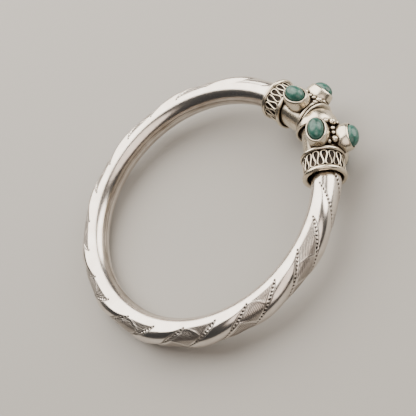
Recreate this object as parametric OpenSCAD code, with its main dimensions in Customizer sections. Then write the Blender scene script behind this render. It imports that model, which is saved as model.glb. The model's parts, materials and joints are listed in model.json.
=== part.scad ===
/* [Bangle ring] */
// Radius of the ring along the middle line of its tube
ring_r = 35; // [30:0.5:40]
// Radius of the round tube
tube_r = 3.7; // [3.2:0.1:4.5]
// Thickness of the tube's wall
tube_wall = 0.6; // [0.4:0.1:1]
// How much the tube draws in towards each of its ends
tube_taper = 0.1; // [0:0.05:0.4]

/* [Spiral gadroons] */
// Height from the flat bands to the crests of the raised ones
relief = 0.5; // [0.2:0.05:0.7]
// Width of one band along the ring, in degrees
band_step = 14.75; // [10:0.25:20]
// Ring angle where the first band starts, on the upper side of the tube
band_start = -54.9; // [-60:0.1:-50]
// Degrees along the ring for each degree round the tube
band_twist = 0.16; // [0.05:0.01:0.3]

/* [Heads] */
// Ring angle between the middle of the front and the outer end of a head
head_start = 25.8; // [22:0.1:30]
// Angle between a head and the line across the front
head_lean = 20.1; // [15:0.1:24]
// Radius of a head's smooth neck
neck_r = 4.85; // [4.5:0.05:5]
// Width of the openwork collar between the middles of its two rings
collar_w = 5.9; // [4.5:0.1:7]
// Radius of the collar's wall
collar_r = 4.95; // [4.9:0.05:5.4]
// Number of loops in the collar's bent wire
loops = 16; // [12:1:20]
// Thickness of the bent wire
loop_wire = 0.5; // [0.4:0.05:0.7]

/* [Stones and settings] */
// Length of a stone
stone_l = 6.4; // [5:0.1:7]
// Width of a stone
stone_w = 4.3; // [3.5:0.1:5]
// Height of a stone's dome above its setting
dome_h = 1.9; // [1.2:0.1:2.5]
// Distance of the stones from the outer end of a head
seat_at = 9.85; // [9:0.05:10.5]
// Height of a setting's lip above the middle line of the head
lip_h = 8; // [7:0.1:9]
// Angle round the head between two neighbouring stones
seat_turn = 77; // [70:1:85]
// Angle round the head of the grains between two stones
grain_turn = 34; // [30:1:40]

/* [Hidden] */

// Clearance between pieces that sit in or against each other
gap = 0.1;
// The bent wire: steps to a loop, sides, depth in the wall, and its turn round each head
loop_steps = 8;
loop_sides = 5;
loop_sunk = 0.17;
left_turn = -2.4;
right_turn = 9.7;
// How far the legs of a loop draw together, as a share of a loop
loop_neck = 0.13;
// Wall of a setting's cup, and the depth of its pocket below the lip
cup_wall = 0.35;
pocket = 1.1;
// The cup's belly: height above the middle line of the head, and how far it stands out past the lip
belly_at = 6;
belly_long = 0.25;
belly_wide = 0.4;
// Wall of the collar, and the step from its wall down to the neck
collar_wall = 0.45;
neck_step = 0.3;
// Half thickness of the collar's outer and inner ring wires
outer_wire = 0.58;
inner_wire = 0.45;
// How far the middles of those wires stand out from the collar's wall
outer_stand = 0.17;
inner_stand = 0.3;
// How far the collars are set off towards the wrist, and how much shorter the left one is
collar_shift = 0.2;
left_short = 0.4;
// Radii of the two sizes of grain, and how far they stand out of the neck, as a share of their radius
small_grain = 0.65;
large_grain = 0.9;
grain_stand = 0.75;
// Ring angle from the middle of the front where the tube ends, inside the collar
tube_end = head_start - 7.2;
// Distance along the head from its outer end to that end of the tube
seat_depth = (head_start - tube_end) * PI / 180 * ring_r + 3 * gap;
// Length of the head from its outer end to the middle plane of the bangle
head_l = ring_r * sin(head_start) / cos(head_lean);
// The cap that closes the left head: place of its open edge, radius, wall, and depth and width of its hollow
cap_at = 14;
cap_r = 5.55;
cap_wall = 0.45;
cap_depth = 1.4;
cap_hollow = 1.2;
// How far the cap is set off towards the wrist, the height of its straight side and of its dome
cap_shift = 0.65;
cap_side = 2;
cap_dome = 6.6;
// The right head ends this far short of the middle plane
end_short = 1.2;
right_l = head_l - end_short;
// Half the thickness of the two wire rings that end the right head, and the step between them
end_wire = 0.42;
end_step = 0.38;
// Steps of the tube along the ring, of its bore, and round the outer and inner half of its section
ring_steps = 90;
bore_steps = 24;
outer_steps = 11;
inner_steps = 6;
// Section angles, from the underside over the outside and back over the inside
SECTION = concat([for (i = [0:outer_steps]) -90 + 180 / outer_steps * i],
    [for (i = [1:inner_steps - 1]) 90 + 180 / inner_steps * i]);
// Sides of the round parts of a head
head_sides = 28;
// Angle round the section past which the tube is plain, and the angle over which the relief fades out
plain_from = 93;
fade = 22;
// Degrees along the ring over which the tube draws in at its ends
taper_span = 14;

function smooth(x) = let (k = max(0, min(1, x))) k * k * (3 - 2 * k);

// Radius of the tube at a ring angle and a section angle
function tube_surface(a, phi) = let (
    p = phi > 180 ? phi - 360 : phi,
    q = (a + band_twist * (plain_from - p) - band_start) / band_step,
    crest = floor(q) % 2 == 0 ? 0 : pow(sin(180 * (q - floor(q))), 0.8),
    share = smooth((plain_from - abs(p)) / fade),
    near_end = smooth(1 - (180 - tube_end - abs(a - 90)) / taper_span))
    tube_r + share * relief * (crest - 0.5) - tube_taper * near_end;

function tube_point(a, phi, r) =
    [(ring_r + r * cos(phi)) * cos(a), (ring_r + r * cos(phi)) * sin(a), r * sin(phi)];

// Ring angle at a share of the way along the tube
function ring_angle(k) = tube_end - 90 + (360 - 2 * tube_end) * k;

// Where one of the lower stones and the tube's back both touch the ground
function stone_low(t) = let (
    psi = -seat_turn,
    up = cos(psi) * cos(head_lean) * sin(t) + sin(psi) * cos(t),
    along = sin(head_lean) * sin(t),
    across = -sin(psi) * cos(head_lean) * sin(t) + cos(psi) * cos(t))
    ring_r * cos(head_start) * sin(t) + seat_at * along + lip_h * up
    - sqrt(pow(stone_l / 2 * along, 2) + pow(stone_w / 2 * across, 2) + pow(dome_h * up, 2));
function tube_low(t) = min([for (i = [0:ring_steps]) for (phi = SECTION)
    let (a = ring_angle(i / ring_steps), p = tube_point(a, phi, tube_surface(a, phi)))
    p[2] * cos(t) - p[1] * sin(t)]);
function level(lo, hi, n) = let (m = (lo + hi) / 2)
    n == 0 ? m : (stone_low(m) < tube_low(m) ? level(m, hi, n - 1) : level(lo, m, n - 1));
tilt = level(0, 12, 24);
// Reach of the front stones and of the tube's back, which centre the part
front_reach = cos(tilt) * (ring_r * cos(head_start) + seat_at * sin(head_lean) + lip_h * cos(head_lean))
    + sqrt(pow(dome_h * cos(head_lean) * cos(tilt), 2) + pow(stone_l / 2 * sin(head_lean), 2));
back_reach = cos(tilt) * ring_r + tube_r;

// Lays a piece drawn round the ring's own axis on the ground
module laid() {
    translate([0, (front_reach - back_reach) / 2, -tube_low(tilt)])
        rotate([-tilt, 0, 0]) children();
}

// Puts a piece drawn along +Z with its outer side to +X on the right head, or mirrors it to the left one
module on_head(left) {
    laid() mirror([left ? 1 : 0, 0, 0])
        translate([ring_r * sin(head_start), -ring_r * cos(head_start), 0])
            rotate([90, 0, head_lean - 90]) children();
}

// Puts a piece drawn upwards, with its length along X, in the seat at an angle round the head
module in_seat(psi) {
    translate([0, 0, seat_at]) rotate([0, 0, psi]) rotate([0, 90, 0]) children();
}

module tube() {
    m = len(SECTION);
    bore_r = tube_r - relief / 2 - tube_wall;
    outside = [for (i = [0:ring_steps]) let (a = ring_angle(i / ring_steps))
        for (phi = SECTION) tube_point(a, phi, tube_surface(a, phi))];
    bore = [for (i = [0:bore_steps]) let (a = ring_angle(i / bore_steps))
        for (phi = SECTION) tube_point(a, phi, bore_r)];
    first = len(outside);
    function skin(base, i, j) = [base + i * m + j, base + i * m + (j + 1) % m,
        base + (i + 1) * m + (j + 1) % m, base + (i + 1) * m + j];
    function turned(f) = [f[3], f[2], f[1], f[0]];
    walls = concat(
        [for (i = [0:ring_steps - 1]) for (j = [0:m - 1]) skin(0, i, j)],
        [for (i = [0:bore_steps - 1]) for (j = [0:m - 1]) turned(skin(first, i, j))]);
    start = [for (j = [0:m - 1]) [j, first + j, first + (j + 1) % m, (j + 1) % m]];
    last_out = ring_steps * m;
    last_in = first + bore_steps * m;
    finish = [for (j = [0:m - 1])
        [last_out + (j + 1) % m, last_in + (j + 1) % m, last_in + j, last_out + j]];
    color("silver") laid() polyhedron(concat(outside, bore), concat(walls, start, finish), convexity = 8);
}

module ring_wire(at, r, wire) {
    translate([0, 0, at]) rotate_extrude($fn = head_sides) translate([r, 0]) circle(r = wire, $fn = 6);
}

// One round wire, bent in loops between the collar's two rings
module loop_band(start, turn) {
    n = loops * loop_steps;
    swing = (collar_w - start) / 2 - outer_wire - gap;
    function spot(i) = let (t = 360 * i / loop_steps, s = (start + collar_w + gap) / 2 + swing * cos(t),
        a = 360 / loops * (i / loop_steps + loop_neck * sin(2 * t)) + turn,
        r = collar_r + loop_wire / 2 - loop_sunk)
        [r * cos(a), r * sin(a), s];
    points = [for (i = [0:n - 1])
        let (c = spot(i), d = spot(i + 1) - spot(i - 1), t = d / norm(d),
            out = [c[0], c[1], 0] / norm([c[0], c[1]]), side = cross(t, out))
        for (k = [0:loop_sides - 1]) let (b = 360 / loop_sides * k)
            c + loop_wire / 2 * (cos(b) * out + sin(b) * side / norm(side))];
    faces = [for (i = [0:n - 1]) for (k = [0:loop_sides - 1])
        let (i2 = (i + 1) % n, k2 = (k + 1) % loop_sides)
        [i * loop_sides + k, i2 * loop_sides + k, i2 * loop_sides + k2, i * loop_sides + k2]];
    polyhedron(points, faces, convexity = 10);
}

// The collar: a wall open towards the tube, its rings and its bent wire
module collar(start, turn) {
    translate([-collar_shift, 0, 0]) {
        rotate_extrude($fn = head_sides) polygon([
            [collar_r - collar_wall, start], [collar_r, start], [collar_r, collar_w],
            [neck_r - neck_step, collar_w + neck_step], [0, collar_w + neck_step], [0, seat_depth],
            [collar_r - collar_wall, seat_depth]]);
        ring_wire(start, collar_r + outer_stand, outer_wire);
        ring_wire(collar_w, collar_r + inner_stand, inner_wire);
        loop_band(start, turn);
    }
}

// The peg that the tube's open end slides over
module peg() {
    peg_r = tube_r - relief / 2 - tube_wall - 4 * gap;
    peg_l = 3;
    translate([0, 0, seat_depth - peg_l]) cylinder(r = peg_r, h = peg_l + neck_step, $fn = 24);
}

module oval(l, w, h) {
    linear_extrude(height = h) scale([l / 2, w / 2]) circle(r = 1, $fn = 16);
}

// A thin oval at a height above the head's middle line
module cup_slice(l, w, at) {
    translate([0, 0, at]) oval(l, w, gap);
}

// A bulging cup with a pocket for the stone, standing on the neck
module setting() {
    lip_l = stone_l + 2 * (cup_wall + gap);
    lip_w = stone_w + 2 * (cup_wall + gap);
    module belly() {
        cup_slice(lip_l + 2 * belly_long, lip_w + 2 * belly_wide, belly_at);
    }
    difference() {
        union() {
            hull() {
                cup_slice(lip_l - 2 * belly_long, lip_w, neck_r - 1);
                belly();
            }
            hull() {
                belly();
                cup_slice(lip_l, lip_w, lip_h - gap);
            }
        }
        hull() {
            cup_slice(stone_l + 2 * gap, stone_w + 2 * gap, lip_h - pocket);
            cup_slice(stone_l + 3 * gap, stone_w + 3 * gap, lip_h);
        }
    }
}

module grain(s, psi, r) {
    rotate([0, 0, psi]) translate([neck_r + grain_stand * r, 0, seat_at + s]) sphere(r = r, $fn = 8);
}

// Grains between two settings: two small ones in a line along the neck, and at each end of it a
// large one between two small ones. Their places along the head count from the stones' middle.
module grain_bar(psi) {
    side_turn = 17;
    for (s = [0.4, 1.8]) grain(s, psi, small_grain);
    for (s = [-1.5, 3.7]) grain(s, psi, large_grain);
    for (s = [-2.35, 3.9]) for (k = [-1, 1]) grain(s, psi + k * side_turn, small_grain);
}

// What both heads share, from the collar to the end of the neck
module head_body(length, start, turn) {
    collar(start, turn);
    peg();
    translate([0, 0, collar_w]) cylinder(r = neck_r, h = length - collar_w, $fn = head_sides);
    for (k = [-1:1]) in_seat(k * seat_turn) setting();
    for (k = [-1, 1]) grain_bar(k * grain_turn);
}

// The domed cap that closes the left head, hollow towards the grains
module cap() {
    translate([-cap_shift, 0, cap_at]) rotate_extrude($fn = head_sides) polygon(concat(
        [[0, cap_depth], [cap_r - cap_wall - cap_hollow, cap_depth], [cap_r - cap_wall, 0], [cap_r, 0]],
        [for (a = [0:15:75]) [cap_r * cos(a), cap_side + cap_dome * sin(a)]],
        [[0, cap_side + cap_dome]]));
}

// The room that the right head's end takes, seen from the left head
module other_end() {
    translate([0, 0, head_l]) rotate([0, -2 * head_lean, 0]) translate([0, 0, end_short - gap])
        cylinder(r = neck_r + end_step + end_wire + gap, h = cap_dome, $fn = head_sides);
}

module head_left() {
    color("silver") on_head(true) difference() {
        union() {
            head_body(head_l, left_short, left_turn);
            cap();
        }
        other_end();
    }
}

module head_right() {
    color("silver") on_head(false) {
        head_body(right_l, 0, right_turn);
        ring_wire(right_l - end_wire - 2 * end_step, neck_r + end_step, end_wire);
        ring_wire(right_l - end_wire, neck_r, end_wire);
    }
}

// A cabochon: an oval dome on a straight edge that fills the setting's pocket
module stone() {
    color("seagreen") {
        translate([0, 0, lip_h]) intersection() {
            scale([stone_l / 2, stone_w / 2, dome_h]) sphere(r = 1, $fn = 16);
            translate([-stone_l, -stone_l, 0]) cube(2 * stone_l);
        }
        translate([0, 0, lip_h - pocket + gap]) oval(stone_l, stone_w, pocket - gap);
    }
}

module stone_left_top() on_head(true) in_seat(seat_turn) stone();
module stone_left_front() on_head(true) in_seat(0) stone();
module stone_left_bottom() on_head(true) in_seat(-seat_turn) stone();
module stone_right_top() on_head(false) in_seat(seat_turn) stone();
module stone_right_front() on_head(false) in_seat(0) stone();
module stone_right_bottom() on_head(false) in_seat(-seat_turn) stone();

tube();
head_left();
head_right();
stone_left_top();
stone_left_front();
stone_left_bottom();
stone_right_top();
stone_right_front();
stone_right_bottom();
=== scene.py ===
"""A silver kada with green stones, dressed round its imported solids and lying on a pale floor."""
from functools import partial
import json
import math
import bmesh
import bpy
import numpy as np
from mathutils import Matrix, Vector
from mathutils.bvhtree import BVHTree


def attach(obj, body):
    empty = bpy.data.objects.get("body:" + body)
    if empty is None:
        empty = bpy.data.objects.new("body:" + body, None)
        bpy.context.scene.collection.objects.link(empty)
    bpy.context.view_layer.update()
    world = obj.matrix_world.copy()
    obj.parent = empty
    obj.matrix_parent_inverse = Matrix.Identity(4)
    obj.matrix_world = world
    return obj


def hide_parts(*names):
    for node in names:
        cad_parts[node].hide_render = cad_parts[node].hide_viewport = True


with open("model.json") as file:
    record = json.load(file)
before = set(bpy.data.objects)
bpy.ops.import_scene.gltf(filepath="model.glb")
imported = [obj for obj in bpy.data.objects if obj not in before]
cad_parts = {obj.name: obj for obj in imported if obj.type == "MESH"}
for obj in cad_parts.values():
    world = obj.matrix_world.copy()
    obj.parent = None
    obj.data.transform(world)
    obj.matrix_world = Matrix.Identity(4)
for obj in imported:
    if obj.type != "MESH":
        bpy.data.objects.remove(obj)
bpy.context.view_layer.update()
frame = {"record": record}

# Sizes are in millimetres and degrees. Most are the solids' own, but the wires, the settings' lips,
# the stones and the cap are set closer to the photograph.
MM = 0.001
# Clearance between pieces that sit in or against each other
GAP = 0.1

# The ring's middle line, and the tube's outer and bore radius
RING_R = 35
TUBE_R = 3.7
TUBE_BORE = 2.85
# How far the tube draws in at its ends, and over how many degrees along the ring
TUBE_TAPER = 0.1
TAPER_SPAN = 14
# Ring angle from the middle of the front where the tube ends, inside the collar
TUBE_END = 18.6

# Height from the flat bands to the crests of the raised ones
RELIEF = 0.5
# Power of the sine that shapes a crest: under 1 makes it fuller
CREST_POWER = 0.8
# Width of one band along the ring, and ring angle where the first starts
BAND_STEP = 14.75
BAND_START = -54.9
# How far the bands wind along the ring for each degree round the tube
BAND_TWIST = 0.16
# Section angle past which the tube is plain, and the angle over which the relief fades out
PLAIN_FROM = 93
FADE = 22

# Ring angle between the middle of the front and the outer end of a head, and the angle between a head
# and the line across the front
HEAD_START = 25.8
HEAD_LEAN = 20.1
# Length of a head to the middle plane of the bangle, and how far short of it the right one ends
HEAD_L = RING_R * math.sin(math.radians(HEAD_START)) / math.cos(math.radians(HEAD_LEAN))
END_SHORT = 1.2
# Radius of a head's smooth neck
NECK_R = 4.85

# The openwork collar: distance along the head to its inner hoop, radius and thickness of its wall
COLLAR_W = 5.9
COLLAR_R = 4.95
COLLAR_WALL = 0.45
# How far it is set off towards the wrist, and distance along each head to its outer hoop
COLLAR_SHIFT = 0.2
COLLAR_START = {"left": 0.4, "right": 0}
# Depth of the seat for the tube, and how far its floor reaches past the inner hoop, into the neck
SEAT_DEPTH = 4.7
NECK_STEP = 0.3
# The outer and the inner hoop: half their thickness, and how far their middles stand off the wall
OUTER_WIRE = 0.68
OUTER_STAND = 0.05
INNER_WIRE = 0.5
INNER_STAND = 0.3
# The bent wire: loops, steps to a loop, and its turn round each head
LOOPS = 16
LOOP_STEPS = 24
LOOP_TURN = {"left": -2.4, "right": 9.7}
# How far the legs of a loop draw together, as a share of it, the wire's thickness, and how far its
# middle stands off the wall
LOOP_NECK = 0.25
LOOP_WIRE = 0.43
LOOP_STAND = 0.14

# Length and width of a stone, and height of its dome above the setting
STONE_L = 6.1
STONE_W = 4
DOME_H = 1.9
# Distance of the stones' middles from the outer end of a head, and the angle round it between two
SEAT_AT = 9.85
SEAT_TURN = 77
# Height of a setting's lip above the middle line of the head, depth of its pocket, and its wall
LIP_H = 8
POCKET = 1.1
CUP_WALL = 0.5
# How deep the setting's foot is sunk in the neck
FOOT_SUNK = 1
# The setting's belly: height above the middle line of the head, and how far it stands out past the lip
# at its ends and at its sides
BELLY_AT = 6
BELLY_LONG = 0.25
BELLY_WIDE = 0.4

# Radii of the two sizes of grain, and how far their middles stand off the neck, as a share of those
SMALL_GRAIN = 0.65
LARGE_GRAIN = 0.9
GRAIN_STAND = 0.75
# Angle round the head of the grains between two stones, and from there to a grain at their side
GRAIN_TURN = 34
GRAIN_SIDE_TURN = 17
# The grains between two stones: distance along the head past the stones' middles, the sides that
# they lie to (0 is the middle), and radius
GRAIN_ROW = (
    (0.4, (0,), SMALL_GRAIN),
    (1.8, (0,), SMALL_GRAIN),
    (-1.5, (0,), LARGE_GRAIN),
    (3.7, (0,), LARGE_GRAIN),
    (-2.35, (-1, 1), SMALL_GRAIN),
    (3.9, (-1, 1), SMALL_GRAIN),
)

# The cap of the left head: place of its open edge, radius and wall
CAP_AT = 14
CAP_R = 5.55
CAP_WALL = 0.45
# Its rolled rim: radius, height of its middle as a share of that, and where its arc starts and ends
RIM_BEAD = 0.3
RIM_RISE = 0.6
RIM_FROM = 205
RIM_TO = -20
# Depth of the cap's hollow, and how much less the radius of its floor is than that of its mouth
CAP_DEPTH = 0.9
CAP_HOLLOW = 1.2
# How far the cap is set off towards the wrist, the height of its straight side and of its dome
CAP_SHIFT = 0.65
CAP_SIDE = 0.9
CAP_DOME = 5.7
# Half the thickness of the two wire rings that end the right head, and how much wider the first is
END_WIRE = 0.42
END_STEP = 0.38

# The arched ridges on the flat bands: degrees from the plain part to the first, how much later they
# come over the width of a band, how far they arch, degrees from one to the next, height, half width
RIDGE_START = 5
RIDGE_RISE = 48
RIDGE_ARCH = 7
RIDGE_PITCH = 47
RIDGE_H = 0.1
RIDGE_HALF = 0.17
# From this band on, towards the left head, the ridges come later by this angle
LATE_BAND = 18
LATE_RIDGE = 30
# Number of hatched lines across a flat band, and a band's width in millimetres
HATCH_LINES = 13
BAND_WIDE = 4.96
# The punched rows: number of bands' borders that they may follow, spacing, radius and depth
PUNCHED_BORDERS = 22
PUNCH_PITCH = 0.95
PUNCH_R = 0.4
PUNCH_DEPTH = 0.22
# Section angle where a row starts, its steps, and degrees that it stays off the left head
PUNCH_FROM = 89
PUNCH_STEP = 3.0
PUNCH_CLEAR = 1
# The leaf that is cut round a punched row: half width, half width where its lines end, and length in
# degrees
LEAF_HALF = 0.6
LEAF_TIP = 0.1
LEAF_LONG = 74
# Section angle of the seam on the inner side, and the degrees over which it wanders
SEAM_AT = 168
SEAM_WANDER = 9
# How deep the leaf lines and the seam are cut against the hatch
LEAF_CUT = 0.9
SEAM_CUT = 0.8
# How black the cuts and the punches are, and how far the hatched fields are dulled
CUT_BLACK = 0.75
PUNCH_BLACK = 1.8
FIELD_DULL = 0.35
# Degrees along the ring from each head over which the sheet is left smooth, and over which the
# engraving then comes up
SMOOTH_LEFT = 14
SMOOTH_RIGHT = 42
RISE_LEFT = 4
RISE_RIGHT = 8
# Degrees that the cuts stay off the plain part of the tube, and over which they come up
CUT_CLEAR = 4
CUT_RISE = 10

# Points of the tube along the ring, of its bore, and round its section: fine up to this angle on both
# sides, and coarser on the plain inner side
ALONG_POINTS = 1000
BORE_POINTS = 60
FINE_TO = 98
FINE_POINTS = 77
PLAIN_POINTS = 15
# Sides of the round parts of a head, of the cap, the settings, the stones, the grains and the wires
HEAD_SIDES = 96
CAP_SIDES = 128
CUP_SIDES = 72
STONE_SIDES = 64
GRAIN_SIDES = 24
GRAIN_RINGS = 14
HOOP_SIDES = 16
LOOP_SIDES = 8
# Points along the collar's lining and the neck, and up the lower and upper part of a setting
LINING_POINTS = 12
NECK_POINTS = 36
LOWER_POINTS = 7
UPPER_POINTS = 8
# Degrees between the points of a small arc, of a stone's dome and of the cap's dome
ARC_STEP = 15
STONE_STEP = 5
DOME_STEP = 3
# Radius of the small flat that closes a skin at its middle
TIP = 0.01
# Edges that turn more than this stay sharp
SHARP_TURN = 40

# Tarnish and painted shade in hollows: how many rays look for nearby pieces and how far, how far off
# the surface they start, and how strongly what they find counts
HOLLOW_RAYS = 20
HOLLOW_REACH = 2.2
HOLLOW_OFF = 0.03
HOLLOW_GAIN = 1.6

# Lamps: direction from the bangle, width in metres, power in watts and colour
LAMPS = {
    "far_softbox": ((0.56, 0.08, 0.64), 0.9, 10.0, "FFF8EE"),
    "side_softbox": ((0.12, -0.85, 0.38), 0.5, 3.4, "FFF8EE"),
    "near_fill": ((-0.6, -0.1, 0.75), 0.6, 1.8, "FFEFE2"),
}
# Metres from the bangle to each lamp, and strength of the light from the room's walls
LAMP_AWAY = 0.55
ROOM_LIGHT = 0.2
# Half the floor's width in metres, and how far it lies below the solids, so that it clears the
# engraved ridges, which reach a little lower
FLOOR_HALF = 1.0
FLOOR_DROP = 0.04

# The photograph's camera: place, axes, side and focal length in pixels, sensor, nearest thing shown
CAMERA_AT = (-153.6, -37.8, 201.5)
CAMERA_RIGHT = (-0.3359, -0.8359, -0.4341)
CAMERA_AHEAD = (0.6081, 0.1595, -0.7777)
PHOTO_SIDE = 416
FOCAL_PIXELS = 950.3
SENSOR = 36
NEAREST_SEEN = 10

# Where the ring lies: its middle and its axis come from the opening for the wrist
OPENING = frame["record"]["mounts"][0]
LAID = (
    Matrix.Translation(OPENING["pos_m"])
    @ Vector((0, 0, 1)).rotation_difference(Vector(OPENING["axis"])).to_matrix().to_4x4()
    @ Matrix.Scale(MM, 4)
)
LEFT, RIGHT = -1, 1
SIDES = {"left": LEFT, "right": RIGHT}


def on_head(side):
    """Head coordinates, with Z along the head and X outwards, to the row frame."""
    start = math.radians(HEAD_START)
    return (
        LAID
        @ Matrix.Diagonal((side, 1, 1, 1))
        @ Matrix.Translation((RING_R * math.sin(start), -RING_R * math.cos(start), 0))
        @ Matrix.Rotation(math.radians(HEAD_LEAN - 90), 4, "Z")
        @ Matrix.Rotation(math.radians(90), 4, "X")
    )


def in_seat(turn):
    """Upwards, with the length along X, to a seat of the head."""
    return (
        Matrix.Translation((0, 0, SEAT_AT))
        @ Matrix.Rotation(math.radians(turn), 4, "Z")
        @ Matrix.Rotation(math.radians(90), 4, "Y")
    )


# Node trees

# Kinds and settings of nodes that several trees share
MATH = "ShaderNodeMath"
RANGE = "ShaderNodeMapRange"
NOISE = "ShaderNodeTexNoise"
MIX = "ShaderNodeMix"
EASED = {"interpolation_type": "SMOOTHSTEP"}
COLOUR = {"data_type": "RGBA"}


def node(tree, kind, inputs=None, **settings):
    """Adds a node with its settings; an input is a value or the output that feeds it."""
    made = tree.nodes.new(kind)
    for name, value in settings.items():
        setattr(made, name, value)
    for name, value in (inputs or {}).items():
        if isinstance(value, bpy.types.Node):
            value = value.outputs[0]
        if isinstance(value, bpy.types.NodeSocket):
            tree.links.new(value, made.inputs[name])
        else:
            made.inputs[name].default_value = value
    return made


def linear(code, alpha=1.0):
    """An sRGB hex colour as linear red, green, blue and alpha."""
    parts = [int(code[i:i + 2], 16) / 255 for i in (0, 2, 4)]
    return [c / 12.92 if c <= 0.04045 else ((c + 0.055) / 1.055) ** 2.4 for c in parts] + [alpha]


def new_material(name):
    """An empty material, its tree and its shader."""
    material = bpy.data.materials.new(name)
    material.use_nodes = True
    tree = material.node_tree
    return material, tree, tree.nodes["Principled BSDF"]


def polished_silver():
    """Sterling silver, buffed by hand: warm white, soft wavy glints, brown tarnish and painted shade in
    its corners.
    """
    material, tree, shader = new_material("polished_sterling_silver")
    add = partial(node, tree)
    spot = add("ShaderNodeTexCoord").outputs["Object"]
    hollow = add("ShaderNodeAttribute", attribute_name="hollow").outputs["Fac"]
    cloud = add(NOISE, {"Vector": spot, "Scale": 1 / (2.2 * MM), "Detail": 4.0})
    speck = add(NOISE, {"Vector": spot, "Scale": 1 / (0.35 * MM), "Detail": 2.0})
    # Brown tarnish and painted shade, darkest where nearby pieces hide most of the sky
    darkening = add(RANGE, {"Value": hollow, "From Min": 0.08, "From Max": 0.58}, **EASED)
    tinted = add(MIX, {"Factor": cloud, 6: linear("F6EDDC"), 7: linear("CBBDA4")}, **COLOUR).outputs[2]
    dark = add(MIX, {"Factor": darkening, 6: tinted, 7: linear("35291E")}, **COLOUR).outputs[2]
    tree.links.new(dark, shader.inputs["Base Color"])
    rough = add(RANGE, {"Value": cloud, "To Min": 0.16, "To Max": 0.34})
    worn = add(MATH, {0: darkening, 1: 0.3, 2: rough}, operation="MULTIPLY_ADD")
    tree.links.new(worn.outputs[0], shader.inputs["Roughness"])
    shader.inputs["Metallic"].default_value = 1.0
    bump = add("ShaderNodeBump", {"Height": speck, "Strength": 0.14, "Distance": 0.05 * MM})
    tree.links.new(bump.outputs[0], shader.inputs["Normal"])
    return material


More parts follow.
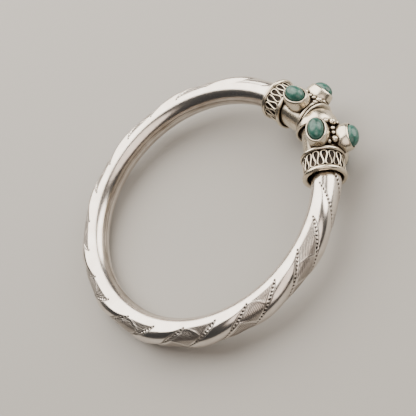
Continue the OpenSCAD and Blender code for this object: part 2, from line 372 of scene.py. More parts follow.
def engraved_silver():
    """Silver sheet with chased bands: polished crests, and black tarnish in the punches and fine cuts."""
    material, tree, shader = new_material("chased_silver_sheet")
    add = partial(node, tree)
    spot = add("ShaderNodeTexCoord").outputs["Object"]
    band, down, cut_here, ridged, pit = [
        add("ShaderNodeAttribute", attribute_name=name).outputs["Fac"]
        for name in ("band", "down", "cut_here", "ridged", "punched")]

    # Every second band is flat, and across runs from 0 to 1 over the width of each
    count = add(MATH, {0: band}, operation="FLOOR")
    odd = add(MATH, {0: count, 1: 1.0}, operation="PINGPONG")
    flat = add(MATH, {0: odd, 1: 0.5}, operation="LESS_THAN")
    across = add(MATH, {0: band}, operation="FRACT")

    # Hatch: fine cuts along each flat band, with a bare margin by each punched row
    rising = add(RANGE, {"Value": across, "From Min": 0.14, "From Max": 0.2}, **EASED)
    falling = add(RANGE, {"Value": across, "From Min": 0.9, "From Max": 0.86}, **EASED)
    unridged = add(MATH, {0: 1.0, 1: ridged}, operation="SUBTRACT", use_clamp=True)
    field = flat
    for share in (cut_here, rising, falling, unridged):
        field = add(MATH, {0: field, 1: share}, operation="MULTIPLY")
    turns = add(MATH, {0: across, 1: 2 * math.pi * HATCH_LINES}, operation="MULTIPLY")
    wave = add(MATH, {0: turns}, operation="SINE")
    lines = add(RANGE, {"Value": wave, "From Min": -0.3, "From Max": 0.9}, **EASED)
    hatch = add(MATH, {0: lines, 1: field}, operation="MULTIPLY")

    # Leaf: a thin line on both sides of a punched row, meeting at its two ends
    to_row = add(MATH, {0: band, 1: 0.5}, operation="PINGPONG")
    row_off = add(MATH, {0: to_row, 1: BAND_WIDE}, operation="MULTIPLY")
    along = add(MATH, {0: down, 1: LEAF_LONG}, operation="DIVIDE", use_clamp=True)
    bend = add(MATH, {0: along, 1: math.pi}, operation="MULTIPLY")
    bulge = add(MATH, {0: bend}, operation="SINE")
    half = add(MATH, {0: bulge, 1: LEAF_HALF}, operation="MULTIPLY")
    past_line = add(MATH, {0: row_off, 1: half}, operation="SUBTRACT")
    line_off = add(MATH, {0: past_line}, operation="ABSOLUTE")
    line = add(RANGE, {"Value": line_off, "From Min": 0.17, "From Max": 0.07}, **EASED)
    wide_enough = add(MATH, {0: half, 1: LEAF_TIP}, operation="GREATER_THAN")
    leaf = line
    for share in (cut_here, wide_enough):
        leaf = add(MATH, {0: leaf, 1: share}, operation="MULTIPLY")

    # Seam: where the sheet's edges meet, on the inner side, wandering a little, in a wide brown stain
    stray = add(NOISE, {"Vector": spot, "Scale": 1 / (6 * MM), "Detail": 2.0})
    wander = add(MATH, {0: stray, 1: SEAM_WANDER, 2: -SEAM_WANDER / 2}, operation="MULTIPLY_ADD")
    past_seam = add(MATH, {0: down, 1: SEAM_AT - PLAIN_FROM}, operation="ADD")
    wandered = add(MATH, {0: past_seam, 1: wander}, operation="ADD")
    seam_off = add(MATH, {0: wandered}, operation="ABSOLUTE")
    seam = add(RANGE, {"Value": seam_off, "From Min": 2.4, "From Max": 0.8}, **EASED)
    near_seam = add(RANGE, {"Value": seam_off, "From Min": 30, "From Max": 6}, **EASED)
    patchy = add(MATH, {0: stray, 1: 0.8, 2: 0.15}, operation="MULTIPLY_ADD")
    stain = add(MATH, {0: near_seam, 1: patchy}, operation="MULTIPLY")

    # All that is cut, and the tarnish that stays in it and in the punches
    leaf_cut = add(MATH, {0: leaf, 1: LEAF_CUT}, operation="MULTIPLY")
    seam_cut = add(MATH, {0: seam, 1: SEAM_CUT}, operation="MULTIPLY")
    engraved = add(MATH, {0: hatch, 1: leaf_cut}, operation="MAXIMUM")
    cut = add(MATH, {0: engraved, 1: seam_cut}, operation="MAXIMUM")
    black_pit = add(MATH, {0: pit, 1: PUNCH_BLACK}, operation="MULTIPLY", use_clamp=True)
    darkening = add(MATH, {0: cut, 1: CUT_BLACK, 2: black_pit}, operation="MULTIPLY_ADD", use_clamp=True)

    cloud = add(NOISE, {"Vector": spot, "Scale": 1 / (3 * MM), "Detail": 4.0})
    tinted = add(MIX, {"Factor": cloud, 6: linear("F8F3EC"), 7: linear("D6CABF")}, **COLOUR).outputs[2]
    dulled = add(MATH, {0: field, 1: FIELD_DULL}, operation="MULTIPLY")
    dull = add(MIX, {"Factor": dulled, 6: tinted, 7: linear("8C7F76")}, **COLOUR).outputs[2]
    stained = add(MIX, {"Factor": stain, 6: dull, 7: linear("6E5B45")}, **COLOUR).outputs[2]
    dark = add(MIX, {"Factor": darkening, 6: stained, 7: linear("241C16")}, **COLOUR).outputs[2]
    tree.links.new(dark, shader.inputs["Base Color"])
    rough = add(RANGE, {"Value": cloud, "To Min": 0.15, "To Max": 0.27})
    worn = add(MATH, {0: darkening, 1: 0.35, 2: rough}, operation="MULTIPLY_ADD")
    tree.links.new(worn.outputs[0], shader.inputs["Roughness"])
    shader.inputs["Metallic"].default_value = 1.0
    # Real scratches of wear are finer than these, which are half a millimetre wide so that they show
    scratch = add(NOISE, {"Vector": spot, "Scale": 1 / (0.5 * MM), "Detail": 2.0})
    scratched = add(MATH, {0: scratch, 1: 0.15}, operation="MULTIPLY")
    height = add(MATH, {0: cut, 1: -1.0, 2: scratched}, operation="MULTIPLY_ADD")
    bump = add("ShaderNodeBump", {"Height": height, "Strength": 0.7, "Distance": 0.06 * MM})
    tree.links.new(bump.outputs[0], shader.inputs["Normal"])
    return material


def blackened_silver():
    """Silver left black with liver of sulphur behind the openwork: matt, rubbed paler in spots."""
    material, tree, shader = new_material("blackened_silver")
    add = partial(node, tree)
    spot = add("ShaderNodeTexCoord").outputs["Object"]
    cloud = add(NOISE, {"Vector": spot, "Scale": 1 / (0.8 * MM), "Detail": 5.0})
    ramp = add("ShaderNodeValToRGB", {"Fac": cloud})
    ramp.color_ramp.elements[0].position = 0.35
    ramp.color_ramp.elements[0].color = linear("0E0B08")
    ramp.color_ramp.elements[1].position = 0.75
    ramp.color_ramp.elements[1].color = linear("33271B")
    tree.links.new(ramp.outputs["Color"], shader.inputs["Base Color"])
    rough = add(RANGE, {"Value": cloud, "To Min": 0.6, "To Max": 0.35})
    tree.links.new(rough.outputs[0], shader.inputs["Roughness"])
    shader.inputs["Metallic"].default_value = 0.8
    bump = add("ShaderNodeBump", {"Height": cloud, "Strength": 0.4, "Distance": 0.08 * MM})
    tree.links.new(bump.outputs[0], shader.inputs["Normal"])
    return material


def turquoise():
    """Green turquoise, cut domed and polished: cloudy sea green with darker veins under a glassy skin."""
    material, tree, shader = new_material("green_turquoise")
    add = partial(node, tree)
    spot = add("ShaderNodeTexCoord").outputs["Object"]
    cloud = add(NOISE, {
        "Vector": spot, "Scale": 1 / (1.6 * MM), "Detail": 5.0, "Roughness": 0.6, "Distortion": 0.4})
    ramp = add("ShaderNodeValToRGB", {"Fac": cloud})
    ramp.color_ramp.elements[0].position = 0.3
    ramp.color_ramp.elements[0].color = linear("1C3A33")
    ramp.color_ramp.elements[1].position = 0.75
    ramp.color_ramp.elements[1].color = linear("5C8479")
    middle = ramp.color_ramp.elements.new(0.5)
    middle.color = linear("2F5E54")
    # The real stone's grain is finer than this quarter of a millimetre, which is as fine as shows
    grain = add(NOISE, {"Vector": spot, "Scale": 1 / (0.25 * MM), "Detail": 2.0})
    mottled = add(MIX, {"Factor": 0.18, 6: ramp, 7: grain}, blend_type="OVERLAY", **COLOUR).outputs[2]
    tree.links.new(mottled, shader.inputs["Base Color"])
    shader.inputs["Roughness"].default_value = 0.27
    shader.inputs["IOR"].default_value = 1.55
    return material


def pale_floor():
    """Pale painted board under soft light: an even warm grey, with no gloss."""
    material, _, shader = new_material("pale_board")
    shader.inputs["Base Color"].default_value = linear("A19F9B")
    shader.inputs["Roughness"].default_value = 0.6
    return material


SILVER = polished_silver()
CHASED = engraved_silver()
BLACKENED = blackened_silver()
STONE = turquoise()


# Meshes

def add_piece(name, vertices, faces, material):
    """A smooth object of the given mesh, in millimetres until it is placed."""
    mesh = bpy.data.meshes.new(name)
    mesh.from_pydata([tuple(v) for v in vertices], [], faces)
    mesh.shade_smooth()
    mesh.materials.append(material)
    made = bpy.data.objects.new(name, mesh)
    bpy.context.scene.collection.objects.link(made)
    return made


def around(sides):
    """The angles of a full turn in even steps, in radians."""
    return np.linspace(0, 2 * math.pi, sides, endpoint=False)


def strips(rows, columns, first=0, close=False):
    """Faces of a grid of points that closes across its columns, and if asked along its rows."""
    last = rows if close else rows - 1
    return [
        (first + i * columns + j, first + (i + 1) % rows * columns + j,
         first + (i + 1) % rows * columns + (j + 1) % columns, first + i * columns + (j + 1) % columns)
        for i in range(last) for j in range(columns)
    ]


def lofted(name, slices, sides, material):
    """A closed skin through oval slices, each a height and two half sizes, with a cap at both ends."""
    points = [(a * math.cos(t), b * math.sin(t), z) for z, a, b in slices for t in around(sides)]
    last = (len(slices) - 1) * sides
    faces = [tuple(reversed(f)) for f in strips(len(slices), sides)]
    caps = [tuple(reversed(range(sides))), tuple(range(last, last + sides))]
    return add_piece(name, points, faces + caps, material)


def turned(name, outline, sides, material):
    """A lofted skin with round slices, from radii and heights."""
    return lofted(name, [(z, r, r) for r, z in outline], sides, material)


def ring_of(name, section, material):
    """A ring with the given closed section, of radii and heights, about the head's axis."""
    points = [(x * math.cos(t), x * math.sin(t), z) for t in around(HEAD_SIDES) for x, z in section]
    return add_piece(name, points, strips(HEAD_SIDES, len(section), close=True), material)


def hoop(name, at, r, half):
    """A ring of round wire about the head's axis."""
    section = [(r + half * math.cos(t), at + half * math.sin(t)) for t in around(HOOP_SIDES)]
    return ring_of(name, section, SILVER)


def join(name, parts):
    """One object from several."""
    mesh = bpy.data.meshes.new(name)
    whole = bmesh.new()
    for part in parts:
        whole.from_mesh(part.data)
    whole.to_mesh(mesh)
    whole.free()
    mesh.materials.append(parts[0].data.materials[0])
    made = bpy.data.objects.new(name, mesh)
    bpy.context.scene.collection.objects.link(made)
    for part in parts:
        bpy.data.objects.remove(part)
    return made


def place(made, matrix):
    """Moves a piece's mesh, not its object, and keeps its faces outwards."""
    made.data.transform(matrix)
    if matrix.determinant() < 0:
        made.data.flip_normals()
    made.data.set_sharp_from_angle(angle=math.radians(SHARP_TURN))
    return made


def carve(made, tool):
    """Takes away what the tool covers."""
    cutter = made.modifiers.new("carve", "BOOLEAN")
    cutter.solver = "EXACT"
    cutter.object = tool
    depsgraph = bpy.context.evaluated_depsgraph_get()
    plain = bpy.data.meshes.new_from_object(made.evaluated_get(depsgraph))
    made.modifiers.remove(cutter)
    made.data = plain
    return made


# Geometry Nodes

def new_tree(name, sockets):
    """A geometry tree with named inputs, and its input and output nodes."""
    tree = bpy.data.node_groups.new(name, "GeometryNodeTree")
    for socket, kind in sockets:
        tree.interface.new_socket(name=socket, in_out="INPUT", socket_type="NodeSocket" + kind)
    tree.interface.new_socket(name="Geometry", in_out="OUTPUT", socket_type="NodeSocketGeometry")
    return tree, node(tree, "NodeGroupInput").outputs, node(tree, "NodeGroupOutput")


def grown(name, tree, values, mesh=None):
    """The plain mesh that a tree makes with the given values, as a new object."""
    base = bpy.data.objects.new(name, mesh or bpy.data.meshes.new(name))
    bpy.context.scene.collection.objects.link(base)
    modifier = base.modifiers.new(tree.name, "NODES")
    modifier.node_group = tree
    for item in tree.interface.items_tree:
        if item.in_out == "INPUT" and item.name in values:
            modifier[item.identifier] = values[item.name]
    depsgraph = bpy.context.evaluated_depsgraph_get()
    plain = bpy.data.meshes.new_from_object(base.evaluated_get(depsgraph))
    bpy.data.objects.remove(base)
    plain.name = name
    # A base without a material leaves an empty slot before the tree's own
    if plain.materials[0] is None:
        plain.materials.pop(index=0)
    made = bpy.data.objects.new(name, plain)
    bpy.context.scene.collection.objects.link(made)
    return made


def punching_tree():
    """Presses a row of round pits into a sheet, evenly spaced along lines that lie on it."""
    tree, given, end = new_tree("Punched rows", [
        ("Sheet", "Geometry"), ("Rows", "Object"), ("Spacing", "Float"),
        ("Punch radius", "Float"), ("Punch depth", "Float"), ("Material", "Material")])
    add = partial(node, tree)
    rows = add("GeometryNodeObjectInfo", {"Object": given["Rows"]}).outputs["Geometry"]
    lines = add("GeometryNodeMeshToCurve", {"Mesh": rows})
    spots = add("GeometryNodeCurveToPoints", {"Curve": lines, "Length": given["Spacing"]}, mode="LENGTH")
    near = add("GeometryNodeProximity", {0: spots}, target_element="POINTS").outputs["Distance"]
    pit = add(RANGE, {
        "Value": near, "From Max": given["Punch radius"], "To Min": 1.0, "To Max": 0.0}, **EASED)
    depth = add(MATH, {0: pit, 1: given["Punch depth"]}, operation="MULTIPLY")
    inwards = add(MATH, {0: depth, 1: -1.0}, operation="MULTIPLY")
    normal = add("GeometryNodeInputNormal")
    shift = add("ShaderNodeVectorMath", {0: normal, "Scale": inwards}, operation="SCALE")
    marked = add("GeometryNodeStoreNamedAttribute", {
        "Geometry": given["Sheet"], "Name": "punched", "Value": pit}, data_type="FLOAT", domain="POINT")
    pressed = add("GeometryNodeSetPosition", {"Geometry": marked, "Offset": shift})
    whole = add("GeometryNodeRealizeInstances", {"Geometry": pressed})
    done = add("GeometryNodeSetMaterial", {"Geometry": whole, "Material": given["Material"]})
    tree.links.new(done.outputs[0], end.inputs[0])
    return tree


def bent_wire_tree():
    """One round wire, bent in loops that swing from side to side round a collar."""
    tree, given, end = new_tree("Bent wire band", [
        ("Geometry", "Geometry"), ("Loops", "Int"), ("Steps", "Int"), ("Sides", "Int"),
        ("Middle", "Float"), ("Swing", "Float"), ("Neck", "Float"), ("Turn", "Float"),
        ("Radius", "Float"), ("Wire", "Float"), ("Material", "Material")])
    add = partial(node, tree)
    count = add(MATH, {0: given["Loops"], 1: given["Steps"]}, operation="MULTIPLY")
    circle = add("GeometryNodeCurvePrimitiveCircle", {"Resolution": count})
    share = add("GeometryNodeSplineParameter").outputs["Factor"]
    loop = add(MATH, {0: share, 1: given["Loops"]}, operation="MULTIPLY")
    wave = add(MATH, {0: loop, 1: 2 * math.pi}, operation="MULTIPLY")
    swing = add(MATH, {0: wave}, operation="COSINE")
    along = add(MATH, {0: swing, 1: given["Swing"], 2: given["Middle"]}, operation="MULTIPLY_ADD")
    # Twice in a loop the wire leans one way and the other, which draws the legs together
    double_wave = add(MATH, {0: wave, 1: 2.0}, operation="MULTIPLY")
    sway = add(MATH, {0: double_wave}, operation="SINE")
    lean = add(MATH, {0: sway, 1: given["Neck"]}, operation="MULTIPLY")
    leaning = add(MATH, {0: loop, 1: lean}, operation="ADD")
    loop_angle = add(MATH, {0: leaning, 1: 2 * math.pi}, operation="MULTIPLY")
    ring_angle = add(MATH, {0: loop_angle, 1: given["Loops"]}, operation="DIVIDE")
    angle = add(MATH, {0: ring_angle, 1: given["Turn"]}, operation="ADD")
    cosine = add(MATH, {0: angle}, operation="COSINE")
    sine = add(MATH, {0: angle}, operation="SINE")
    x = add(MATH, {0: given["Radius"], 1: cosine}, operation="MULTIPLY")
    y = add(MATH, {0: given["Radius"], 1: sine}, operation="MULTIPLY")
    spot = add("ShaderNodeCombineXYZ", {"X": x, "Y": y, "Z": along})
    bent = add("GeometryNodeSetPosition", {"Geometry": circle, "Position": spot})
    half = add(MATH, {0: given["Wire"], 1: 0.5}, operation="MULTIPLY")
    section = add("GeometryNodeCurvePrimitiveCircle", {"Resolution": given["Sides"], "Radius": half})
    wire = add("GeometryNodeCurveToMesh", {"Curve": bent, "Profile Curve": section})
    smooth = add("GeometryNodeSetShadeSmooth", {"Geometry": wire})
    whole = add("GeometryNodeRealizeInstances", {"Geometry": smooth})
    done = add("GeometryNodeSetMaterial", {"Geometry": whole, "Material": given["Material"]})
    tree.links.new(done.outputs[0], end.inputs[0])
    return tree


def grain_tree():
    """A round grain on each point, as large as the point's own size says."""
    tree, given, end = new_tree("Grains", [
        ("Points", "Geometry"), ("Segments", "Int"), ("Rings", "Int"), ("Material", "Material")])
    add = partial(node, tree)
    ball = add("GeometryNodeMeshUVSphere", {
        "Segments": given["Segments"], "Rings": given["Rings"], "Radius": 1.0}).outputs["Mesh"]
    smooth = add("GeometryNodeSetShadeSmooth", {"Geometry": ball})
    size = add("GeometryNodeInputNamedAttribute", {"Name": "size"}, data_type="FLOAT")
    balls = add("GeometryNodeInstanceOnPoints", {
        "Points": given["Points"], "Instance": smooth, "Scale": size})
    whole = add("GeometryNodeRealizeInstances", {"Geometry": balls})
    done = add("GeometryNodeSetMaterial", {"Geometry": whole, "Material": given["Material"]})
    tree.links.new(done.outputs[0], end.inputs[0])
    return tree


# The tube

def ease(x):
    """A smooth step from 0 to 1."""
    k = np.clip(x, 0, 1)
    return k * k * (3 - 2 * k)


def band_of(a, phi):
    """Which band lies at a ring angle and a section angle, and as a fraction how far across it."""
    return (a + BAND_TWIST * (PLAIN_FROM - phi) - BAND_START) / BAND_STEP


def ridge_share(band, down):
    """How close a place on a flat band is to one of its arched ridges, from 0 to 1."""
    across = band - np.floor(band)
    arch = RIDGE_START + RIDGE_RISE * across - RIDGE_ARCH * np.sin(math.pi * across)
    field = (down - arch - LATE_RIDGE * (band >= LATE_BAND)) / RIDGE_PITCH
    off = (field - np.maximum(np.round(field), 0)) * RIDGE_PITCH * math.pi / 180 * TUBE_R
    flat = np.floor(band) % 2 == 0
    return flat * np.exp(-(off / RIDGE_HALF) ** 2)


def cut_share(a):
    """How much of the engraving shows at a ring angle: none of it near the heads."""
    from_right = a + 90 - HEAD_START
    from_left = 270 - HEAD_START - a
    return ease((from_right - SMOOTH_RIGHT) / RISE_RIGHT) * ease((from_left - SMOOTH_LEFT) / RISE_LEFT)


def tube_radius(a, phi):
    """Radius of the tube at a ring angle and a section angle from -180 to 180."""
    band = band_of(a, phi)
    across = band - np.floor(band)
    crest = np.where(np.floor(band) % 2 == 0, 0, np.sin(math.pi * across) ** CREST_POWER)
    worked = ease((PLAIN_FROM - np.abs(phi)) / FADE)
    near_end = ease(1 - (180 - TUBE_END - np.abs(a - 90)) / TAPER_SPAN)
    ridge = RIDGE_H * cut_share(a) * ridge_share(band, PLAIN_FROM - phi)
    return TUBE_R + worked * (RELIEF * (crest - 0.5) + ridge) - TUBE_TAPER * near_end


def tube_points(a, phi, r):
    """Points at ring angles, section angles and distances from the ring's middle line."""
    a, phi = np.radians(a), np.radians(phi)
    reach = RING_R + r * np.cos(phi)
    return np.stack([reach * np.cos(a), reach * np.sin(a), r * np.sin(phi)], -1).reshape(-1, 3)


def punch_rows():
    """Lines along the bands' borders, for the punched rows."""
    points, edges = [], []
    for k in range(PUNCHED_BORDERS):
        phi = np.arange(PUNCH_FROM, -PUNCH_FROM, -PUNCH_STEP)
        a = BAND_START + k * BAND_STEP - BAND_TWIST * (PLAIN_FROM - phi)
        inside = (a > SMOOTH_RIGHT + HEAD_START - 90) & (a < 270 - HEAD_START - PUNCH_CLEAR)
        phi, a = phi[inside], a[inside]
        if len(a) < 2:
            continue
        first = len(points)
        points += list(tube_points(a, phi, tube_radius(a, phi)))
        edges += [(first + i, first + i + 1) for i in range(len(a) - 1)]
    mesh = bpy.data.meshes.new("rows")
    mesh.from_pydata([tuple(p) for p in points], edges, [])
    made = bpy.data.objects.new("rows", mesh)
    bpy.context.scene.collection.objects.link(made)
    return made


def make_tube():
    """The hollow ring, with its raised and engraved bands and punched rows."""
    along = np.linspace(TUBE_END - 90, 270 - TUBE_END, ALONG_POINTS)
    outer = np.linspace(-FINE_TO, FINE_TO, FINE_POINTS)
    inner = np.linspace(FINE_TO, 360 - FINE_TO, PLAIN_POINTS)[1:-1]
    section = np.concatenate([outer, np.where(inner > 180, inner - 360, inner)])
    a, phi = np.meshgrid(along, section, indexing="ij")
    outside = tube_points(a, phi, tube_radius(a, phi))
    bore_along = np.linspace(along[0], along[-1], BORE_POINTS)
    bore_a, bore_phi = np.meshgrid(bore_along, section, indexing="ij")
    bore = tube_points(bore_a, bore_phi, np.full_like(bore_a, TUBE_BORE))
    columns = len(section)
    first = len(outside)
    skin = strips(len(along), columns)
    lining = [tuple(reversed(f)) for f in strips(len(bore_along), columns, first)]
    last_out, last_in = (len(along) - 1) * columns, first + (len(bore_along) - 1) * columns
    ends = [(j, (j + 1) % columns, first + (j + 1) % columns, first + j) for j in range(columns)]
    ends += [(last_out + (j + 1) % columns, last_out + j, last_in + j, last_in + (j + 1) % columns)
             for j in range(columns)]
    base = add_piece("tube_base", np.concatenate([outside, bore]), skin + lining + ends, CHASED)
    unmarked = np.zeros(len(bore))
    band = band_of(a, phi)
    down = PLAIN_FROM - phi
    marks = {
        "band": band,
        "down": down,
        "ridged": ridge_share(band, down),
        "cut_here": cut_share(a) * ease((PLAIN_FROM - np.abs(phi) - CUT_CLEAR) / CUT_RISE),
    }
    for name, values in marks.items():
        stored = base.data.attributes.new(name, "FLOAT", "POINT")
        stored.data.foreach_set("value", np.concatenate([values.ravel(), unmarked]).astype(np.float32))
    rows = punch_rows()
    made = grown("bangle_tube", punching_tree(), {
        "Rows": rows, "Spacing": PUNCH_PITCH, "Punch radius": PUNCH_R, "Punch depth": PUNCH_DEPTH,
        "Material": CHASED}, base.data)
    for spare in (base, rows):
        bpy.data.objects.remove(spare)
    return place(made, LAID)


# The heads, in head coordinates

def make_collar_wall(word):
    """The blackened wall behind the openwork."""
    start = COLLAR_START[word]
    middle = COLLAR_R - COLLAR_WALL / 2
    section = [(middle, start), (COLLAR_R, start), (COLLAR_R, COLLAR_W), (middle, COLLAR_W)]
    return ring_of(f"collar_wall_{word}", section, BLACKENED)


def make_collar_lining(word):
    """The plain silver inside of the collar, open towards the tube, and its floor."""
    start = COLLAR_START[word]
    middle = COLLAR_R - COLLAR_WALL / 2
    inside = [(COLLAR_R - COLLAR_WALL, s) for s in np.linspace(SEAT_DEPTH, start, LINING_POINTS)]
    back = COLLAR_W + NECK_STEP
    outline = [(TIP, SEAT_DEPTH)] + inside + [(middle, start), (middle, back), (TIP, back)]
    return turned(f"collar_lining_{word}", outline, HEAD_SIDES, SILVER)


def make_hoops(word):
    """The two hoops that edge the collar."""
    return join(f"collar_hoops_{word}", [
        hoop("outer_hoop", COLLAR_START[word], COLLAR_R + OUTER_STAND, OUTER_WIRE),
        hoop("inner_hoop", COLLAR_W, COLLAR_R + INNER_STAND, INNER_WIRE)])


def make_end_rings(name):
    """The two wire rings, one a little smaller, that end the right head."""
    end = HEAD_L - END_SHORT
    return join(name, [
        hoop("wide_ring", end - END_WIRE - 2 * END_STEP, NECK_R + END_STEP, END_WIRE),
        hoop("narrow_ring", end - END_WIRE, NECK_R, END_WIRE)])


def make_neck(name, side):
    """The smooth barrel that carries the settings."""
    end = CAP_AT + CAP_DEPTH + GAP if side == LEFT else HEAD_L - END_SHORT
    barrel = [(NECK_R, s) for s in np.linspace(COLLAR_W, end, NECK_POINTS)]
    return turned(name, [(TIP, COLLAR_W)] + barrel + [(TIP, end)], HEAD_SIDES, SILVER)


def make_cap(name):
    """The domed cap that closes the left head: a rounded rim, hollow towards the grains."""
    hollow = [(TIP, CAP_DEPTH), (CAP_R - CAP_WALL - CAP_HOLLOW, CAP_DEPTH)]
    rim = [(CAP_R - CAP_WALL / 2 + RIM_BEAD * math.cos(t), RIM_BEAD * (RIM_RISE - math.sin(t)))
           for t in np.radians(np.arange(RIM_FROM, RIM_TO - 1, -ARC_STEP))]
    dome = [(CAP_R * math.cos(t), CAP_SIDE + CAP_DOME * math.sin(t))
            for t in np.radians(np.arange(1, 89, DOME_STEP))]
    outline = hollow + rim + dome + [(TIP, CAP_SIDE + CAP_DOME)]
    return place(turned(name, outline, CAP_SIDES, SILVER), Matrix.Translation((-CAP_SHIFT, 0, CAP_AT)))


def other_end():
    """The room that the right head's end takes, seen from the left head."""
    reach = NECK_R + END_STEP + END_WIRE + GAP
    outline = [(TIP, 0), (reach, 0), (reach, CAP_DOME), (TIP, CAP_DOME)]
    return place(
        turned("other_end", outline, HEAD_SIDES, SILVER),
        Matrix.Translation((0, 0, HEAD_L))
        @ Matrix.Rotation(math.radians(-2 * HEAD_LEAN), 4, "Y")
        @ Matrix.Translation((0, 0, END_SHORT - GAP)))


def make_setting(turn):
    """A bulging cup with a thin rounded lip and a pocket for the stone."""
    lip_l, lip_w = STONE_L / 2 + CUP_WALL + GAP, STONE_W / 2 + CUP_WALL + GAP
    foot = NECK_R - FOOT_SUNK
    half = CUP_WALL / 2
    lower = list(np.linspace(foot, BELLY_AT, LOWER_POINTS))
    upper = list(np.linspace(BELLY_AT, LIP_H - half, UPPER_POINTS))[1:]
    slices = [(foot, TIP, TIP)]
    for z in lower + upper:
        span = LIP_H - BELLY_AT if z > BELLY_AT else BELLY_AT - foot
        swell = math.cos(math.pi / 2 * (z - BELLY_AT) / span)
        slices.append((z, lip_l + BELLY_LONG * swell, lip_w + BELLY_WIDE * swell))
    for t in np.radians(np.arange(ARC_STEP, 181, ARC_STEP)):
        out, up = half * math.cos(t), half * math.sin(t)
        slices.append((LIP_H - half + up, lip_l - half + out, lip_w - half + out))
    slices += [(LIP_H - POCKET, lip_l - CUP_WALL, lip_w - CUP_WALL), (LIP_H - POCKET, TIP, TIP)]
    return place(lofted("setting", slices, CUP_SIDES, SILVER), in_seat(turn))


def make_stone(name, side, turn):
    """A cabochon: a straight edge in the pocket under an oval dome."""
    half_l, half_w = STONE_L / 2, STONE_W / 2
    foot = LIP_H - POCKET + GAP
    slices = [(foot, TIP, TIP), (foot, half_l, half_w)]
    for t in np.radians(np.arange(0, 90, STONE_STEP)):
        slices.append((LIP_H + DOME_H * math.sin(t), half_l * math.cos(t), half_w * math.cos(t)))
    slices.append((LIP_H + DOME_H, TIP, TIP))
    return place(lofted(name, slices, STONE_SIDES, STONE), on_head(side) @ in_seat(turn))


def make_grains(name):
    """Two small grains between each two settings, and at each end a large one between two small ones."""
    places = [(s, middle + k * GRAIN_SIDE_TURN, r)
              for middle in (-GRAIN_TURN, GRAIN_TURN) for s, sides, r in GRAIN_ROW for k in sides]
    mesh = bpy.data.meshes.new("grain_places")
    spots = [in_seat(turn) @ Vector((-s, 0, NECK_R + GRAIN_STAND * r)) for s, turn, r in places]
    mesh.from_pydata(spots, [], [])
    size = mesh.attributes.new("size", "FLOAT", "POINT")
    size.data.foreach_set("value", np.array([r for _, _, r in places], np.float32))
    return grown(name, GRAINS, {"Segments": GRAIN_SIDES, "Rings": GRAIN_RINGS, "Material": SILVER}, mesh)


def make_loops(word):
    """The bent wire between the collar's hoops."""
    start = COLLAR_START[word]
    return grown(f"wire_loops_{word}", BENT_WIRE, {
        "Loops": LOOPS, "Steps": LOOP_STEPS, "Sides": LOOP_SIDES, "Middle": (start + COLLAR_W) / 2,
        "Swing": (COLLAR_W - start) / 2 - OUTER_WIRE, "Neck": LOOP_NECK,
        "Turn": math.radians(LOOP_TURN[word]), "Radius": COLLAR_R + LOOP_STAND, "Wire": LOOP_WIRE,
        "Material": SILVER})


def make_head(word):
    """All pieces of one head, placed; the solid head that they stand for is hidden."""
    side = SIDES[word]
    collar = [make_collar_wall(word), make_collar_lining(word), make_hoops(word), make_loops(word)]
    for part in collar:
        place(part, Matrix.Translation((-COLLAR_SHIFT, 0, 0)))
    settings = join(f"settings_{word}", [make_setting(k * SEAT_TURN) for k in (-1, 0, 1)])
    neck = make_neck(f"neck_{word}", side)
    parts = collar + [neck, settings, make_grains(f"grains_{word}")]
    if side == LEFT:
        cap = make_cap("domed_cap")
        tool = other_end()
        carve(neck, tool)
        carve(cap, tool)
        bpy.data.objects.remove(tool)
        parts.append(cap)
    else:
        parts.append(make_end_rings("end_rings"))
    for part in parts:
        place(part, on_head(side))
        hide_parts(f"head_{word}")
    return parts


def mark_hollows_for_tarnish_and_shade(parts, others):
    """Stores on each vertex how much of the sky nearby pieces hide, where tarnish stays and shade is
    painted.
    """
    reach = HOLLOW_REACH * MM
    whole = bmesh.new()
    for part in parts + others:
        whole.from_mesh(part.data)
    near = BVHTree.FromBMesh(whole)
    whole.free()
    # Rays spread evenly over the half ball above a vertex, a golden angle apart
    k = np.arange(HOLLOW_RAYS) + 0.5
    up, turn = 1 - k / HOLLOW_RAYS, k * math.pi * (3 - math.sqrt(5))
    flat = np.sqrt(1 - up ** 2)
    fan = np.stack([flat * np.cos(turn), flat * np.sin(turn), up], 1)
    for part in parts:
        mesh = part.data
        values = np.zeros(len(mesh.vertices), np.float32)
        for i, vertex in enumerate(mesh.vertices):
            normal = vertex.normal
            basis = np.array(normal.to_track_quat("Z", "Y").to_matrix())
            start = vertex.co + normal * HOLLOW_OFF * MM
            hits = [near.ray_cast(start, Vector(basis @ d), reach)[3] for d in fan]
            hidden = sum(1 - h / reach for h in hits if h is not None) / HOLLOW_RAYS
            values[i] = hidden * HOLLOW_GAIN
        stored = mesh.attributes.new("hollow", "FLOAT", "POINT")
        stored.data.foreach_set("value", np.clip(values, 0, 1))


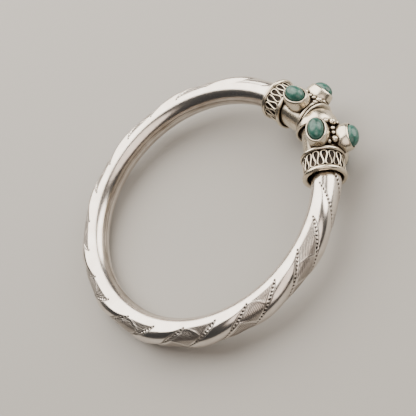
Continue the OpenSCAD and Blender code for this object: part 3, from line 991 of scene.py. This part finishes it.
def make_lights():
    """A large soft lamp beyond the bangle, one beside it, a dim one by the camera, and a dim room."""
    middle = LAID.translation
    for name, (way, size, power, shade) in LAMPS.items():
        lamp = bpy.data.lights.new(name, "AREA")
        lamp.shape = "DISK"
        lamp.size = size
        lamp.energy = power
        lamp.color = linear(shade)[:3]
        made = bpy.data.objects.new(name, lamp)
        bpy.context.scene.collection.objects.link(made)
        away = Vector(way).normalized()
        made.location = middle + away * LAMP_AWAY
        made.rotation_euler = away.to_track_quat("Z", "Y").to_euler()
    world = bpy.data.worlds.new("grey_room")
    world.use_nodes = True
    bpy.context.scene.world = world
    background = world.node_tree.nodes["Background"]
    background.inputs["Color"].default_value = linear("8A8A8C")
    background.inputs["Strength"].default_value = ROOM_LIGHT


def make_floor():
    """A wide board, just under the deepest ridge of the tube."""
    half, top = FLOOR_HALF, -FLOOR_DROP * MM
    corners = [(-half, -half, top), (half, -half, top), (half, half, top), (-half, half, top)]
    floor = add_piece("floor", corners, [(0, 1, 2, 3)], pale_floor())


def make_camera():
    """The photograph's own view, worked out from the ring's outline in it."""
    ahead, right = Vector(CAMERA_AHEAD).normalized(), Vector(CAMERA_RIGHT)
    right = (right - ahead * right.dot(ahead)).normalized()
    lens = bpy.data.cameras.new("photo_camera")
    lens.sensor_width = SENSOR
    lens.lens = FOCAL_PIXELS / PHOTO_SIDE * SENSOR
    lens.clip_start = NEAREST_SEEN * MM
    camera = bpy.data.objects.new("photo_camera", lens)
    bpy.context.scene.collection.objects.link(camera)
    axes = Matrix((right, right.cross(ahead), -ahead)).transposed()
    camera.matrix_world = Matrix.Translation(Vector(CAMERA_AT) * MM) @ axes.to_4x4()
    bpy.context.scene.camera = camera


GRAINS = grain_tree()
BENT_WIRE = bent_wire_tree()

tube = make_tube()
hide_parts("tube")
heads = [part for word in SIDES for part in make_head(word)]
stones = []
for word, side in SIDES.items():
    for spot, turn in (("top", SEAT_TURN), ("front", 0), ("bottom", -SEAT_TURN)):
        stone = make_stone(f"cabochon_{word}_{spot}", side, turn)
        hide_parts(f"stone_{word}_{spot}")
        stones.append(stone)
# Tarnish and painted shade in the heads' hollows, where the tube, the stones and other pieces hide the
# sky
mark_hollows_for_tarnish_and_shade(heads, [tube] + stones)
for part in [tube] + heads + stones:
    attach(part, "root")
make_lights()
make_floor()
make_camera()
